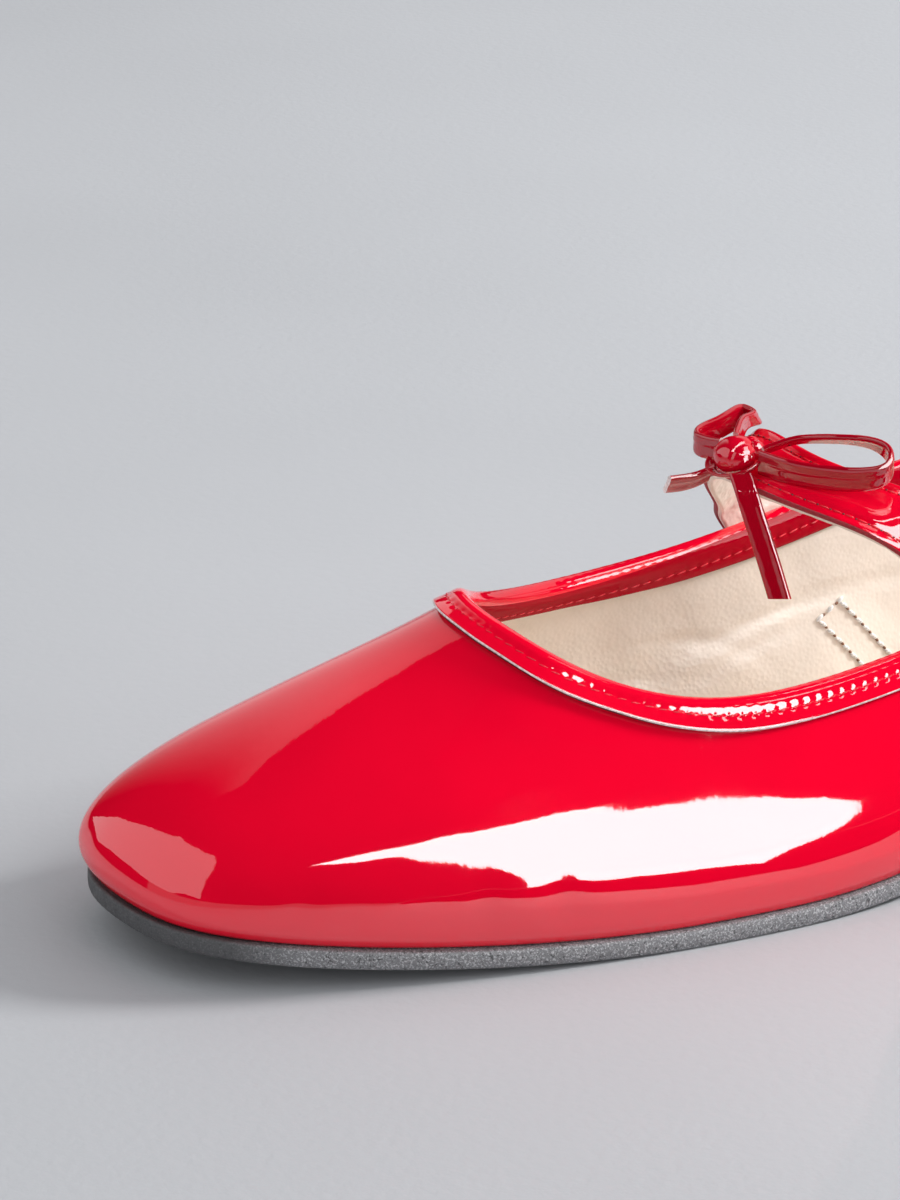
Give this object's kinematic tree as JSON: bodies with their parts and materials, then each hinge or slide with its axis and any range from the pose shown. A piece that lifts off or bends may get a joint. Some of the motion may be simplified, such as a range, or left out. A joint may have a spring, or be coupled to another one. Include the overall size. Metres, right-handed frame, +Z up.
{
  "type": "ballet flat",
  "caption": "Left patent ballet flat with a folded topline binding, an instep strap and a small knotted ribbon bow on a thin flat sole.",
  "frame": {"origin": "on the floor, at the centre of the heel's rest", "axes": "+X toward the toe, +Y toward the shoe's outer side, +Z up"},
  "size_m": [0.2454, 0.0774, 0.0688],
  "materials": {
    "patent_leather": "high gloss patent",
    "lining_leather": "soft matte",
    "sole_rubber": "matte, finely speckled"
  },
  "bodies": {
    "root": {"upper": "patent_leather", "topline_binding": "patent_leather", "strap": "patent_leather", "bow_knot": "patent_leather", "bow_loop_outer": "patent_leather", "bow_loop_inner": "patent_leather", "bow_tail_outer": "patent_leather", "bow_tail_inner": "patent_leather", "insole": "lining_leather", "outsole": "sole_rubber", "heel": "sole_rubber"}
  },
  "joints": []
}
